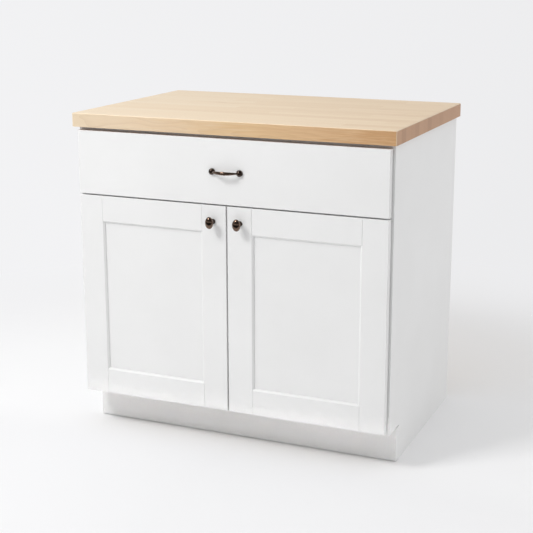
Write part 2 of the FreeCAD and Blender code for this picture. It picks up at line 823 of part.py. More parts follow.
drawer_slab = front_slab("door_left", "-(door_left)", "drawer_low", "drawer_low + drawer_front_height")
slab_holes = handle_holes("front_y", "front_thick")
slab_holes += front_screw_holes("front_back_y - front_screw_bite - screw_clearance",
                                "front_screw_bite + screw_clearance")
node(cut(drawer_slab, slab_holes), "drawer_front")
front_screws = [screw((x, "front_back_y + box_wall", z), "-y", "wood_screw_radius",
                      "box_wall + front_screw_bite", "wood_head_radius", "wood_head_thick")
                for x, z in front_screw_places()]
node(group(front_screws), "drawer_front_screws")
bumper_spots = [(x, z) for x in ("door_left + frame_stile", "-(door_left + frame_stile)")
                for z in ("drawer_low + bumper_inset", "drawer_low + drawer_front_height - bumper_inset")]
node(group([rod((x, "front_back_y", z), "+y", "bumper_radius", "bumper_thick") for x, z in bumper_spots]),
     "drawer_bumpers")


# Drawer pull

def pull_bar():
    """A bow that swells in the middle, lofted through ellipses on an arc from foot to foot."""
    half_span = value("pull_spacing") / 2
    rise = value("pull_projection - pull_middle_thick / 2 - pull_root")
    radius = (half_span ** 2 + rise ** 2) / (2 * rise)
    half_angle = math.asin(half_span / radius)
    crest_y = value("front_y - pull_projection + pull_middle_thick / 2")
    level = value("pull_z")
    wires = []
    for step in range(PULL_SECTIONS):
        share = 2 * step / (PULL_SECTIONS - 1) - 1
        angle = share * half_angle
        swell = math.cos(share * math.pi / 2) ** 2
        height = value("pull_end_height") + swell * value("pull_middle_height - pull_end_height")
        thick = value("pull_end_thick") + swell * value("pull_middle_thick - pull_end_thick")
        ring = Part.Wire([Part.Ellipse(FreeCAD.Vector(0, 0, 0), height / 2, thick / 2).toShape()])
        along = FreeCAD.Vector(math.cos(angle), math.sin(angle), 0)
        turn = FreeCAD.Rotation(UPWARD, along.cross(UPWARD), along, "ZXY")
        spot = FreeCAD.Vector(radius * math.sin(angle), crest_y + radius * (1 - math.cos(angle)), level)
        ring.Placement = FreeCAD.Placement(spot, turn)
        wires.append(ring)
    bar = doc.addObject("Part::Feature", "pull_bar")
    bar.Shape = Part.makeLoft(wires, True)
    return bar


def pull_foot(x):
    """A round domed foot against the drawer front."""
    cap = "pull_foot_thick - pull_foot_rim"
    profile = [("0", "0"), ("pull_foot_radius", "0"),
               ("pull_foot_radius", "-pull_foot_rim", bow_radius("pull_foot_radius", cap), "right"),
               ("0", "-pull_foot_thick")]
    return turned(profile, (x, "front_y", "pull_z"))


pull_body = fuse([pull_bar()] + [pull_foot(x) for x in pull_screw_places()])
node(cut(pull_body, handle_holes("front_y - machine_screw_bite - screw_clearance",
                                 "machine_screw_bite + screw_clearance")), "drawer_pull")
pull_screw_length = "box_wall + front_thick + machine_screw_bite"
pull_screws = [screw((x, "front_back_y + box_wall", "pull_z"), "-y", "machine_screw_radius",
                     pull_screw_length, "machine_head_radius", "machine_head_thick")
               for x in pull_screw_places()]
node(group(pull_screws), "drawer_pull_screws")


# Doors

def member_section(edge, inward, back):
    """Section of a stile or rail: bevelled and grooved on its inner edge. The front face is at front_y."""
    flat = f"{edge} {inward} (door_member - member_bevel)"
    inner = f"{edge} {inward} door_member"
    groove = f"{edge} {inward} (door_member - panel_groove)"
    recess = "front_y + panel_recess"
    return [(edge, "front_y"), (flat, "front_y"), (inner, "front_y + member_bevel"), (inner, recess),
            (groove, recess), (groove, f"{recess} + panel_thick"), (inner, f"{recess} + panel_thick"),
            (inner, back), (edge, back)]


def knob_hole(start_y, length):
    """Hole for the knob's screw."""
    return screw_hole(("knob_x", start_y, "knob_z"), "+y", "machine_screw_radius", length)


def hinge_bores(level):
    """Bores in the hinge stile for one cup and its two dowels."""
    bores = [rod(("cup_x", "front_back_y - cup_depth", level), "+y", "cup_radius", "cup_depth")]
    for side in ("-", "+"):
        spot = ("cup_x + dowel_offset", "front_back_y - dowel_depth - cup_play",
                f"{level} {side} dowel_spacing / 2")
        bores.append(rod(spot, "+y", "dowel_radius + cup_play", "dowel_depth + cup_play"))
    return fuse(bores)


def at_wing_corner(edge):
    """Whether an edge of a hinge cup's wing runs through the sheet at one of its corners."""
    return not (lies_at(edge, "y", "0") or lies_at(edge, "y", "flange_thick"))


def hinge_cup(level):
    """Pressed cup with a flange, two dowelled wings and two cheeks that hold the pin."""
    floor_y = "front_back_y - cup_depth + cup_play"
    back = "front_back_y + flange_thick"
    shell = rod(("cup_x", floor_y, level), "+y", "cup_radius - cup_play", f"{back} - ({floor_y})")
    rim = rod(("cup_x", "front_back_y", level), "+y", "cup_radius + cup_flange", "flange_thick")
    wing_x = "cup_x + dowel_offset"
    wing = pad("XZ", rectangle((f"{wing_x} - wing_width / 2", f"{level} - wing_reach"),
                               (f"{wing_x} + wing_width / 2", f"{level} + wing_reach")),
               "front_back_y", "flange_thick")
    eased(wing, at_wing_corner, "wing_round")
    dowels = [rod((wing_x, "front_back_y - dowel_depth", f"{level} {side} dowel_spacing / 2"),
                  "+y", "dowel_radius", "dowel_depth + flange_thick") for side in ("-", "+")]
    hollow = rod(("cup_x", f"{floor_y} + cup_wall", level), "+y", "cup_radius - cup_play - cup_wall",
                 f"{back} - ({floor_y})")
    inside = rod(("cup_x", floor_y, level), "+y", "cup_radius - cup_play", "pin_radius + cheek_margin + "
                 f"pivot_y - ({floor_y})")
    cheek_size = ("pivot_x + pin_radius + cheek_margin - door_left", "cup_depth", "cheek_thick")
    cheek_lows = ("arm_width / 2 + cheek_gap", "-arm_width / 2 - cheek_gap - cheek_thick")
    cheeks = [board(("door_left", floor_y, f"{level} + {low}"), cheek_size) for low in cheek_lows]
    pin_way = rod(("pivot_x", "pivot_y", f"{level} - cup_radius / 2"), "+z", "pin_radius + pin_clearance",
                  "cup_radius")
    shell_with_wings = cut(fuse([shell, rim, wing] + dowels), [hollow])
    return cut(fuse([shell_with_wings] + [common(cheek, inside) for cheek in cheeks]), [pin_way])


def hinge_pin(level):
    """The pin between the cup's cheeks that the arm's eye turns on."""
    half_length = "arm_width / 2 + cheek_gap + cheek_thick"
    low_end = ("pivot_x", "pivot_y", f"{level} - ({half_length})")
    return rod(low_end, "+z", "pin_radius", f"2 * ({half_length})")


def hinge_arm(level):
    """Bent arm from the frame's inner edge into the cup, with an eye on the pin and a screw plate."""
    low_y = "pivot_y - arm_drop - arm_thick"
    high_y = "pivot_y - arm_drop"
    leg_x = "jamb_x + arm_thick"
    plate_end_y = "side_front_y - plate_back_edge"
    bend_inside = "arm_bend - arm_thick"
    profile = [("pivot_x", low_y), (f"{leg_x} - arm_bend", low_y, "arm_bend", "left"),
               (leg_x, f"{low_y} + arm_bend"), (leg_x, plate_end_y), ("jamb_x", plate_end_y),
               ("jamb_x", f"{high_y} + {bend_inside}", bend_inside, "right"),
               (f"jamb_x - ({bend_inside})", high_y), ("pivot_x", high_y)]
    strip = pad("XY", profile, f"{level} - arm_width / 2", "arm_width")
    eye = rod(("pivot_x", "pivot_y", f"{level} - arm_width / 2"), "+z", "eye_radius", "arm_width")
    plate = board(("jamb_x", "face_y + plate_back_edge", f"{level} - plate_height / 2"),
                  ("arm_thick", "frame_thick - 2 * plate_back_edge", "plate_height"))
    pin_way = rod(("pivot_x", "pivot_y", f"{level} - arm_width"), "+z", "pin_radius + pin_clearance",
                  "2 * arm_width")
    return cut(fuse([strip, eye, plate]), [pin_way] + plate_screw_holes(level))


def plate_screw(spot):
    """One screw of a hinge arm."""
    return screw(spot, "-x", "wood_screw_radius", "arm_thick + plate_screw_length", "wood_head_radius",
                 "wood_head_thick")


def half_head(direction, depth):
    """Half of the knob's oval head, on one side of its widest plane."""
    made = doc.addObject("Part::Ellipsoid", "half_head")
    made.setExpression("Radius1", formula(depth))
    made.setExpression("Radius2", formula("knob_head_width / 2"))
    made.setExpression("Radius3", formula("knob_head_height / 2"))
    made.Angle1 = 0
    made.Placement.Rotation = FreeCAD.Rotation(UPWARD, DIRECTIONS[direction])
    return place(made, ("knob_x", "front_y - knob_projection + knob_dome", "knob_z"))


def knob():
    """Knob with a round foot, a waisted neck and an upright oval head."""
    head_plane = "-(knob_projection - knob_dome)"
    foot_arc = bow_radius("knob_neck_length - knob_foot_thick", "knob_foot_radius - knob_neck_radius")
    neck_arc = bow_radius("knob_projection - knob_dome - knob_neck_length",
                          "knob_flare_radius - knob_neck_radius")
    profile = [("0", "0"), ("knob_foot_radius", "0"),
               ("knob_foot_radius", "-knob_foot_thick", foot_arc, "left"),
               ("knob_neck_radius", "-knob_neck_length", neck_arc, "left"),
               ("knob_flare_radius", head_plane), ("0", head_plane)]
    stem = turned(profile, ("knob_x", "front_y", "knob_z"))
    whole = fuse([stem, half_head("-y", "knob_dome"), half_head("+y", "knob_back")])
    return cut(whole, [knob_hole("front_y - machine_screw_bite - screw_clearance",
                                 "machine_screw_bite + screw_clearance")])


def seam_grooves():
    """Fine V grooves on the front, where the rails meet the stiles."""
    flat = "(door_member - member_bevel)"
    grooves = []
    for seam_x in (f"door_left + {flat}", f"door_right - {flat}"):
        notch = [(f"{seam_x} - seam_width / 2", "front_y"), (f"{seam_x} + seam_width / 2", "front_y"),
                 (seam_x, "front_y + seam_depth")]
        grooves += [pad("XY", notch, low, flat) for low in ("door_low", f"door_high - {flat}")]
    return grooves


def door_pieces():
    """The left door's pieces, each with its name."""
    slab = front_slab("door_left", "door_right", "door_low", "door_high")
    height = "door_high - door_low"
    hinge_section = member_section("door_left", "+", "front_back_y")
    closing_section = member_section("door_right", "-", "front_back_y")
    hinge_blank = common(pad("XY", hinge_section, "door_low", height), slab)
    closing_blank = common(pad("XY", closing_section, "door_low", height), slab)
    seams = seam_grooves()
    hinge_stile = cut(hinge_blank, [hinge_bores(level) for level in HINGE_LEVELS] + seams)
    closing_stile = cut(closing_blank, [knob_hole("front_y", "front_thick")] + seams)
    rail_start = "door_left + door_member - panel_groove"
    rail_length = "door_right - door_left - 2 * (door_member - panel_groove)"
    rails = []
    for edge, inward in (("door_high", "-"), ("door_low", "+")):
        section = [(y, z) for z, y in member_section(edge, inward, "front_back_y")]
        blank = common(pad("YZ", section, rail_start, rail_length), slab)
        rails.append(cut(blank, [hinge_blank, closing_blank] + seams))
    reach = "door_member - panel_groove + panel_play"
    panel = board((f"door_left + {reach}", "front_y + panel_recess", f"door_low + {reach}"),
                  (f"door_right - door_left - 2 * ({reach})", "panel_thick", f"{height} - 2 * ({reach})"))
    knob_screw = screw(("knob_x", "front_back_y", "knob_z"), "-y", "machine_screw_radius",
                       "front_thick + machine_screw_bite", "machine_head_radius", "machine_head_thick")
    bumpers = [rod(("door_right - bumper_side_inset", "front_back_y", z), "+y", "bumper_radius",
                   "bumper_thick") for z in ("door_high - bumper_inset", "door_low + bumper_inset")]
    return {"hinge_stile": hinge_stile, "closing_stile": closing_stile, "top_rail": rails[0],
            "bottom_rail": rails[1], "panel": panel, "knob": knob(), "knob_screw": knob_screw,
            "hinge_cups": group([hinge_cup(level) for level in HINGE_LEVELS]),
            "hinge_pins": group([hinge_pin(level) for level in HINGE_LEVELS]), "bumpers": group(bumpers)}


for part_name, left_piece in door_pieces().items():
    node(left_piece, "left_door_" + part_name)
    node(mirrored(left_piece), "right_door_" + part_name)

left_arms = node(group([hinge_arm(level) for level in HINGE_LEVELS]), "left_hinge_arms")
node(mirrored(left_arms), "right_hinge_arms")
arm_screws = [plate_screw(spot) for level in HINGE_LEVELS for spot in plate_screw_spots(level)]
node(group(arm_screws + [mirrored(item) for item in arm_screws]), "hinge_arm_screws")

doc.recompute()
faults = [item.Label for item in doc.Objects if "Invalid" in item.State or "Error" in item.State]
faults += [item.Label for item in nodes if item.Shape.isNull() or not item.Shape.isValid()]
faults += [item.Label for item in nodes if not item.Shape.Solids]
if faults:
    raise RuntimeError("faulty pieces: " + ", ".join(faults))

os.makedirs("parts", exist_ok=True)
for piece in nodes:
    piece.Shape.exportStep(f"parts/{piece.Label}.step")
print(len(nodes), "pieces written")
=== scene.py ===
import json
import math

import bpy
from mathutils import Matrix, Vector


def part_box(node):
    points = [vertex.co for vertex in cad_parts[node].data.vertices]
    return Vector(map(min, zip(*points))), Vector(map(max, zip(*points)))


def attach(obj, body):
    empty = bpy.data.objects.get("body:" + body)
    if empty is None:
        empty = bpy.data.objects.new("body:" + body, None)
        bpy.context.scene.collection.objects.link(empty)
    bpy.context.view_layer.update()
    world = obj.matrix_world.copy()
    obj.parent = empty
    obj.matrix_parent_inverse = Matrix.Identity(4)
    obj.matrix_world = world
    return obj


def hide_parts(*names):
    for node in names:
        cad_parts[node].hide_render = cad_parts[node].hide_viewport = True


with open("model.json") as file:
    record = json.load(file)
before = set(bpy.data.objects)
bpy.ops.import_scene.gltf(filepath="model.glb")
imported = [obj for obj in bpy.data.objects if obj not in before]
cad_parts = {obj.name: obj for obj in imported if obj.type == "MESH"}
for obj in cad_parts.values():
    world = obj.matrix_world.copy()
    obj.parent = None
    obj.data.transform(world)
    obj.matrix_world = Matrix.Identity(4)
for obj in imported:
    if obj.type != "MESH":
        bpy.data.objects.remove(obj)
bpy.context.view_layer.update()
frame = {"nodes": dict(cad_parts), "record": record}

MM = 0.001
SLOT_OF = {subpart["node"]: subpart["material_slot"] for subpart in frame["record"]["subparts"]}
BODY_OF = {node: body for body, nodes in frame["record"]["behaviour"]["bodies"].items() for node in nodes}


# Shader helpers

def add_node(tree, kind, inputs=None, **settings):
    """A shader node with its settings. An input takes a number, a colour or another node's output."""
    made = tree.nodes.new("ShaderNode" + kind)
    for name, setting in settings.items():
        setattr(made, name, setting)
    for name, given in (inputs or {}).items():
        if isinstance(given, bpy.types.NodeSocket):
            tree.links.new(given, made.inputs[name])
        else:
            made.inputs[name].default_value = given
    return made


def calc(tree, operation, first, second=0.0, third=0.0):
    """The result of a sum on up to three numbers."""
    return add_node(tree, "Math", {0: first, 1: second, 2: third}, operation=operation).outputs[0]


def mingle(tree, first, second, share):
    """Two numbers mixed, with a share of the first."""
    return calc(tree, "MULTIPLY_ADD", first, share, calc(tree, "MULTIPLY", second, 1.0 - share))


def ramp(tree, factor, stops):
    """A colour ramp from a list of places and colours."""
    made = add_node(tree, "ValToRGB", {0: factor})
    elements = made.color_ramp.elements
    while len(elements) < len(stops):
        elements.new(0.5)
    for element, (spot, colour) in zip(elements, stops):
        element.position = spot
        element.color = (*colour, 1)
    return made.outputs[0]


def spread(tree, factor, low, high, first=0.0, last=1.0):
    """A number that runs between first and last, spread between two others."""
    inputs = {0: factor, 1: first, 2: last, 3: low, 4: high}
    return add_node(tree, "MapRange", inputs).outputs[0]


def ease_in(tree, factor, first, last):
    """A smooth step from 0 at first to 1 at last."""
    inputs = {0: factor, 1: first, 2: last}
    return add_node(tree, "MapRange", inputs, interpolation_type="SMOOTHSTEP").outputs[0]


def blend(tree, factor, first, second, how="MIX"):
    """Two colours mixed by a factor."""
    made = add_node(tree, "Mix", data_type="RGBA", blend_type=how)
    for socket, given in zip((made.inputs[0], made.inputs[6], made.inputs[7]), (factor, first, second)):
        if isinstance(given, bpy.types.NodeSocket):
            tree.links.new(given, socket)
        else:
            socket.default_value = given if isinstance(given, float) else (*given, 1)
    return made.outputs[2]


def noise(tree, place, scale, detail=3.0, roughness=0.5, distortion=0.0):
    """Cloudy noise from 0 to 1 at a place."""
    inputs = {"Vector": place, "Scale": scale, "Detail": detail, "Roughness": roughness,
              "Distortion": distortion}
    return add_node(tree, "TexNoise", inputs).outputs[0]


def grain(tree, place, stretch, **settings):
    """Noise with its own scale along each axis."""
    stretched = add_node(tree, "Mapping", {"Vector": place, "Scale": stretch}).outputs[0]
    return noise(tree, stretched, 1.0, **settings)


def axes_of(tree, place):
    """X, Y and Z of a place or a direction."""
    return add_node(tree, "SeparateXYZ", {0: place}).outputs


def new_finish(name, **sockets):
    """A material with its constant numbers set on the shader, and the place of a point on the piece."""
    made = bpy.data.materials.new(name)
    made.use_nodes = True
    tree = made.node_tree
    shader = tree.nodes["Principled BSDF"]
    for socket, number in sockets.items():
        shader.inputs[socket.replace("_", " ")].default_value = number
    place = add_node(tree, "TexCoord").outputs["Object"]
    return made, tree, shader, place


def coloured(tree, shader, colour, roughness):
    """Gives the surface its colour and its roughness."""
    tree.links.new(colour, shader.inputs["Base Color"])
    tree.links.new(roughness, shader.inputs["Roughness"])


def bumped(tree, shader, height, depth, strength):
    """Gives the surface a fine relief, its depth in metres."""
    inputs = {"Height": height, "Distance": depth, "Strength": strength}
    tree.links.new(add_node(tree, "Bump", inputs).outputs[0], shader.inputs["Normal"])


# Paint

PAINT_TONES = [(0.3, (0.815, 0.815, 0.81)), (0.7, (0.84, 0.84, 0.836))]
PAINT_CLOUDS = 5.0
PAINT_SHEEN_CLOUDS = 60.0
PAINT_ROUGHNESS = (0.36, 0.46)
ORANGE_PEEL = 420.0
ORANGE_PEEL_DEPTH = 0.05 * MM
ORANGE_PEEL_STRENGTH = 0.35


def white_paint():
    """Sprayed satin paint: even, a little orange peel, hardly any change of tone."""
    made, tree, shader, place = new_finish("white_paint")
    colour = ramp(tree, noise(tree, place, PAINT_CLOUDS), PAINT_TONES)
    coloured(tree, shader, colour, spread(tree, noise(tree, place, PAINT_SHEEN_CLOUDS), *PAINT_ROUGHNESS))
    bumped(tree, shader, noise(tree, place, ORANGE_PEEL, detail=2.0), ORANGE_PEEL_DEPTH, ORANGE_PEEL_STRENGTH)
    return made


# Maple worktop

STAVE_WIDTH = 39.7 * MM
STAVE_LENGTH = 0.46
STAVE_STAGGER = 9.0
STAVE_TOPS = [(0.0, (0.71, 0.522, 0.328)), (0.5, (0.805, 0.638, 0.437)), (1.0, (0.835, 0.69, 0.5))]
TOP_TONE_SHARE = 0.5
TOP_SWING = (-0.4, 0.4)
# Painted shade: how much the top darkens from its left end to its right, for the light falling off from the
# left.
TOP_PAINTED_FALLOFF = (0.75, 0.25)
# Painted shade: the underside is painted dark brown so that the gap under the worktop shows darker and
# browner.
PAINTED_UNDERSIDE_SHADE = (0.42, 0.18, 0.035)
# The front edge's tones run from pale to dark. Grain picks among them, and painted shade takes the edge to
# the darker ones towards the right.
EDGE_TONES = [(0.0, (0.855, 0.715, 0.53)), (0.25, (0.84, 0.665, 0.475)), (0.55, (0.77, 0.525, 0.28)),
              (0.8, (0.705, 0.44, 0.23)), (1.0, (0.58, 0.3, 0.115))]
EDGE_STRETCH = (13.0, 60.0, 300.0)
EDGE_SWING = (-0.5, 0.5)
EDGE_CONTRAST = (0.25, 1.0)
END_TONES = [(0.0, (0.395, 0.209, 0.104)), (0.5, (0.475, 0.26, 0.137)), (1.0, (0.535, 0.308, 0.168))]
END_TONE_SHARE = 0.7
PORE_STRETCH = (40.0, 900.0, 900.0)
FACE_TURN = (0.55, 0.8)
# Painted highlight: the pale tone laid along the rounded arrises.
PAINTED_ARRIS_HIGHLIGHT = (0.88, 0.735, 0.54)
ARRIS_TURN = (0.88, 0.985)
ARRIS_SHARE = 0.7
RING_WIDTH = 3.2 * MM
RING_SWAY = 9.0
SWAY_STRETCH = (3.0, 14.0, 14.0)
HEART_ASIDE = (-0.09, 0.09)
HEART_BELOW = (-1.05, -0.8)
LATE_WOOD = (0.42, 0.27, 0.14)
LATE_SHARPNESS = 3.0
LATE_SHARE = 0.16
GLUE = (0.5, 0.36, 0.22)
GLUE_LINE = 0.25 * MM
GLUE_SHARE = 0.3
FIBRE_STRETCH = (9.0, 620.0, 620.0)
FIBRE_SHARE = 0.35
FIBRE_DEPTH = 0.06 * MM
FIBRE_STRENGTH = 0.5
STREAK_STRETCH = (1.6, 55.0, 55.0)
MAPLE_ROUGHNESS = (0.5, 0.38)


def stave_lots(tree, place, front):
    """How many staves in from the front a point lies, and the tone and lots of its own length of stave."""
    x, y, _ = axes_of(tree, place)
    across = calc(tree, "DIVIDE", calc(tree, "SUBTRACT", y, front), STAVE_WIDTH)
    stave = calc(tree, "FLOOR", across)
    shift = add_node(tree, "TexWhiteNoise", {"W": stave}, noise_dimensions="1D").outputs["Value"]
    staggered = calc(tree, "MULTIPLY", shift, STAVE_STAGGER)
    along = calc(tree, "ADD", calc(tree, "DIVIDE", x, STAVE_LENGTH), staggered)
    length = add_node(tree, "CombineXYZ", {0: stave, 1: calc(tree, "FLOOR", along)}).outputs[0]
    lots = add_node(tree, "TexWhiteNoise", {"Vector": length}, noise_dimensions="3D").outputs
    return across, lots["Value"], axes_of(tree, lots["Color"])


def late_wood(tree, place, lots):
    """The dark side of each growth ring, about a heart that lies off each stave by its own amount."""
    _, y, z = axes_of(tree, place)
    aside = calc(tree, "ADD", y, spread(tree, lots[0], *HEART_ASIDE))
    below = calc(tree, "ADD", z, spread(tree, lots[1], *HEART_BELOW))
    squares = calc(tree, "ADD", calc(tree, "MULTIPLY", aside, aside), calc(tree, "MULTIPLY", below, below))
    rings = calc(tree, "DIVIDE", calc(tree, "SQRT", squares), RING_WIDTH)
    sway = calc(tree, "MULTIPLY", grain(tree, place, SWAY_STRETCH, detail=2.0), RING_SWAY)
    grown = calc(tree, "FRACT", calc(tree, "ADD", rings, sway))
    return calc(tree, "POWER", grown, LATE_SHARPNESS)


def maple():
    """Edge-glued maple staves: pale on top, warmer along the front edge, browner on the end grain. Painted
    shade darkens the top and the front edge towards the right and darkens the underside, and a painted
    highlight runs along the arrises.
    """
    made, tree, shader, place = new_finish("maple_worktop")
    low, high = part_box("worktop")
    across, tone, lots = stave_lots(tree, place, low.y)
    # Painted shade: a share that grows from the worktop's left end to its right, standing for the light
    # falling off.
    falloff_to_right = spread(tree, axes_of(tree, place)[0], 0.0, 1.0, low.x, high.x)
    fibre = grain(tree, place, FIBRE_STRETCH, detail=5.0, roughness=0.6)
    streak = grain(tree, place, STREAK_STRETCH, detail=4.0, roughness=0.55)
    figure = mingle(tree, fibre, streak, FIBRE_SHARE)
    # Each face has its own tones. Painted shade: the top and the front edge darken towards the right as the
    # light falls off from the left, and the underside is painted dark brown for the shade in the gap under
    # the worktop
    light = mingle(tree, tone, figure, TOP_TONE_SHARE)
    top_light = calc(tree, "ADD", spread(tree, light, *TOP_SWING), spread(tree, falloff_to_right, *TOP_PAINTED_FALLOFF))
    top = ramp(tree, top_light, STAVE_TOPS)
    edge_grain = grain(tree, place, EDGE_STRETCH, detail=4.0, roughness=0.6, distortion=0.5)
    contrast = spread(tree, falloff_to_right, *EDGE_CONTRAST)
    edge_light = calc(tree, "MULTIPLY_ADD", spread(tree, edge_grain, *EDGE_SWING), contrast, falloff_to_right)
    edge = ramp(tree, edge_light, EDGE_TONES)
    pores = grain(tree, place, PORE_STRETCH, detail=2.0)
    end = ramp(tree, mingle(tree, tone, pores, END_TONE_SHARE), END_TONES)
    facing = axes_of(tree, add_node(tree, "NewGeometry").outputs["Normal"])
    sideways, forwards, upright = [calc(tree, "ABSOLUTE", part) for part in facing]
    # Painted shade on the faces that look down.
    under = ease_in(tree, calc(tree, "MULTIPLY", facing[2], -1.0), *FACE_TURN)
    flat = blend(tree, under, top, PAINTED_UNDERSIDE_SHADE)
    edged = blend(tree, ease_in(tree, forwards, *FACE_TURN), flat, edge)
    wood = blend(tree, ease_in(tree, sideways, *FACE_TURN), edged, end)
    # Painted highlight on the rounded arrises, then the rings and the glue lines over all faces
    flattest = calc(tree, "MAXIMUM", sideways, calc(tree, "MAXIMUM", forwards, upright))
    rounded = calc(tree, "SUBTRACT", 1.0, ease_in(tree, flattest, *ARRIS_TURN))
    arris_highlighted = blend(tree, calc(tree, "MULTIPLY", rounded, ARRIS_SHARE), wood, PAINTED_ARRIS_HIGHLIGHT)
    late = calc(tree, "MULTIPLY", late_wood(tree, place, lots), LATE_SHARE)
    ringed = blend(tree, late, arris_highlighted, LATE_WOOD, "MULTIPLY")
    from_joint = calc(tree, "MULTIPLY", calc(tree, "PINGPONG", across, 0.5), STAVE_WIDTH)
    joint = calc(tree, "MULTIPLY", calc(tree, "LESS_THAN", from_joint, GLUE_LINE), GLUE_SHARE)
    coloured(tree, shader, blend(tree, joint, ringed, GLUE), spread(tree, figure, *MAPLE_ROUGHNESS))
    bumped(tree, shader, fibre, FIBRE_DEPTH, FIBRE_STRENGTH)
    return made


# Plywood

PLY_SHEET = 1.5 * MM
THICKEST_PLY = 25 * MM
PLY_FACE = [(0.3, (0.66, 0.5, 0.32)), (0.55, (0.74, 0.59, 0.405)), (0.75, (0.79, 0.65, 0.47))]
PLY_CROSSED = [(0.3, (0.4, 0.27, 0.15)), (0.7, (0.52, 0.37, 0.22))]
PLY_STREAKS = (3.0, 55.0)
PLY_FIBRES = (14.0, 700.0)
PLY_FIBRE_SHARE = 0.4
PLY_FIBRE_DEPTH = 0.04 * MM
PLY_FIBRE_STRENGTH = 0.5
PLY_ROUGHNESS = (0.5, 0.36)
PLY_LOT = 0.37
PLY_SKIN = 0.01


def birch_ply(node):
    """Clear lacquered birch plywood: grain along the board, its sheets in layers on the edges."""
    made, tree, shader, place = new_finish("birch_ply_" + node)
    low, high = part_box(node)
    size = high - low
    thin, _, long = sorted(range(3), key=lambda axis: size[axis])
    lot = sum(ord(letter) for letter in node) * PLY_LOT
    moved = add_node(tree, "Mapping", {"Vector": place, "Location": (lot, 0, lot)}).outputs[0]

    def board_grain(scales, **settings):
        along, across = scales
        stretch = [along if axis == long else across for axis in range(3)]
        return grain(tree, moved, stretch, **settings)

    streak = board_grain(PLY_STREAKS, detail=4.0, roughness=0.55, distortion=0.6)
    fibre = board_grain(PLY_FIBRES)
    figure = mingle(tree, fibre, streak, PLY_FIBRE_SHARE)
    colour = ramp(tree, figure, PLY_FACE)
    if size[thin] < THICKEST_PLY:
        sheets = 2 * round(size[thin] / PLY_SHEET / 2) + 1
        inside = calc(tree, "SUBTRACT", axes_of(tree, place)[thin], low[thin])
        depth = calc(tree, "DIVIDE", inside, size[thin] / sheets)
        kept_in = calc(tree, "MINIMUM", calc(tree, "MAXIMUM", depth, PLY_SKIN), sheets - PLY_SKIN)
        crossed = calc(tree, "MODULO", calc(tree, "FLOOR", kept_in), 2.0)
        colour = blend(tree, crossed, colour, ramp(tree, fibre, PLY_CROSSED))
    coloured(tree, shader, colour, spread(tree, figure, *PLY_ROUGHNESS))
    bumped(tree, shader, fibre, PLY_FIBRE_DEPTH, PLY_FIBRE_STRENGTH)
    return made


# Metal and rubber

BRONZE_RUBBED = [(0.35, (0.135, 0.085, 0.058)), (0.6, (0.18, 0.115, 0.08)), (0.8, (0.245, 0.158, 0.111))]
BRONZE_DARK = [(0.35, (0.028, 0.016, 0.01)), (0.7, (0.066, 0.039, 0.026))]
BRONZE_CLOUDS = 160.0
BRONZE_SHEEN_CLOUDS = 350.0
BRONZE_ROUGHNESS = (0.1, 0.18)
LACQUER = 0.5
LACQUER_ROUGHNESS = 0.1
RUBBED_FROM = 7 * MM
RUBBED_TO = 17 * MM
CAST_GRAIN = 900.0
CAST_DEPTH = 0.015 * MM
CAST_STRENGTH = 0.3


def antique_bronze():
    """Lacquered dark bronze, nearly black at the feet and rubbed brown where hands reach it."""
    made, tree, shader, place = new_finish("antique_bronze", Metallic=1.0, Coat_Weight=LACQUER,
                                           Coat_Roughness=LACQUER_ROUGHNESS)
    cloud = noise(tree, place, BRONZE_CLOUDS, detail=5.0, roughness=0.6)
    reach = calc(tree, "SUBTRACT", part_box("drawer_front")[0].y, axes_of(tree, place)[1])
    rubbed = ease_in(tree, reach, RUBBED_FROM, RUBBED_TO)
    colour = blend(tree, rubbed, ramp(tree, cloud, BRONZE_DARK), ramp(tree, cloud, BRONZE_RUBBED))
    coloured(tree, shader, colour, spread(tree, noise(tree, place, BRONZE_SHEEN_CLOUDS), *BRONZE_ROUGHNESS))
    bumped(tree, shader, noise(tree, place, CAST_GRAIN), CAST_DEPTH, CAST_STRENGTH)
    return made


ZINC = (0.62, 0.63, 0.65)
ZINC_ROUGHNESS = 0.34
NICKEL = (0.8, 0.785, 0.75)
NICKEL_ROUGHNESS = 0.36
PLATING_SHADE = 0.82
PLATING_CLOUDS = 90.0
DRAWN_STRETCH = (900.0, 12.0, 900.0)
DRAWN_SHARE = 0.5
DRAWN_ROUGHNESS = 0.07
DRAWN_DEPTH = 0.01 * MM
DRAWN_STRENGTH = 0.3


def plated_steel(name, colour, roughness):
    """Bright plated steel with faint drawing marks along its length."""
    made, tree, shader, place = new_finish(name, Metallic=1.0)
    drawn = grain(tree, place, DRAWN_STRETCH)
    cloud = noise(tree, place, PLATING_CLOUDS, detail=4.0)
    darker = tuple(PLATING_SHADE * part for part in colour)
    tint = ramp(tree, mingle(tree, drawn, cloud, DRAWN_SHARE), [(0.3, darker), (0.7, colour)])
    sheen = spread(tree, drawn, roughness - DRAWN_ROUGHNESS, roughness + DRAWN_ROUGHNESS)
    coloured(tree, shader, tint, sheen)
    bumped(tree, shader, drawn, DRAWN_DEPTH, DRAWN_STRENGTH)
    return made


RUBBER_TONES = [(0.3, (0.7, 0.71, 0.7)), (0.7, (0.78, 0.79, 0.78))]
RUBBER_CLOUDS = 300.0
RUBBER_CLEARNESS = 0.4
RUBBER_ROUGHNESS = (0.28, 0.4)


def clear_rubber():
    """Soft clear bumper."""
    made, tree, shader, place = new_finish("clear_rubber", Transmission_Weight=RUBBER_CLEARNESS)
    cloud = noise(tree, place, RUBBER_CLOUDS)
    coloured(tree, shader, ramp(tree, cloud, RUBBER_TONES), spread(tree, cloud, *RUBBER_ROUGHNESS))
    return made


